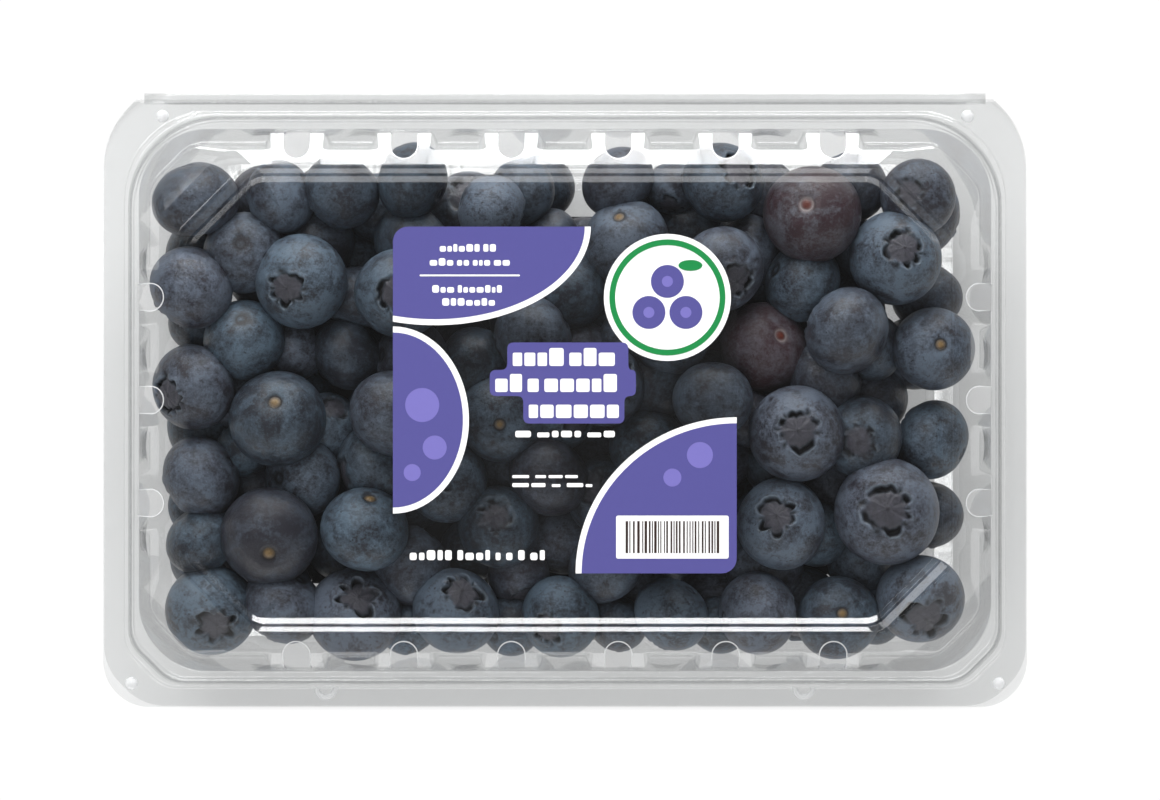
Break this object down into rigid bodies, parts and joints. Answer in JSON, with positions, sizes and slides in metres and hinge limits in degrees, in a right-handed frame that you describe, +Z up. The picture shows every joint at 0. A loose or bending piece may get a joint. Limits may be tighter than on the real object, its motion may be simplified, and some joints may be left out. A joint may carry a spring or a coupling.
{
  "type": "punnet of blueberries",
  "caption": "Clear hinged plastic punnet full of blueberries, with a vented lid that has a recessed panel and a square purple printed label.",
  "frame": {"origin": "middle of the footprint's bounding box, on the surface that the punnet stands on", "axes": "+Z is up, +X runs along the hinge, and +Y points to the hinge, so that the lid opens from the front at -Y"},
  "size_m": [0.187, 0.1244, 0.0455],
  "materials": {
    "clear_plastic": "clear thermoformed sheet",
    "berry_skin": "matte waxy fruit skin with pale bloom",
    "label_film": "printed adhesive film"
  },
  "bodies": {
    "base": {"punnet_base": "clear_plastic", "blueberries": "berry_skin"},
    "lid": {"punnet_lid": "clear_plastic", "label": "label_film"}
  },
  "joints": [
    {"name": "lid_hinge", "type": "hinge", "parent": "base", "child": "lid", "pos_m": [0, 0.0614, 0.03135], "axis": [-1, 0, 0], "range_deg": [0, 180]}
  ]
}
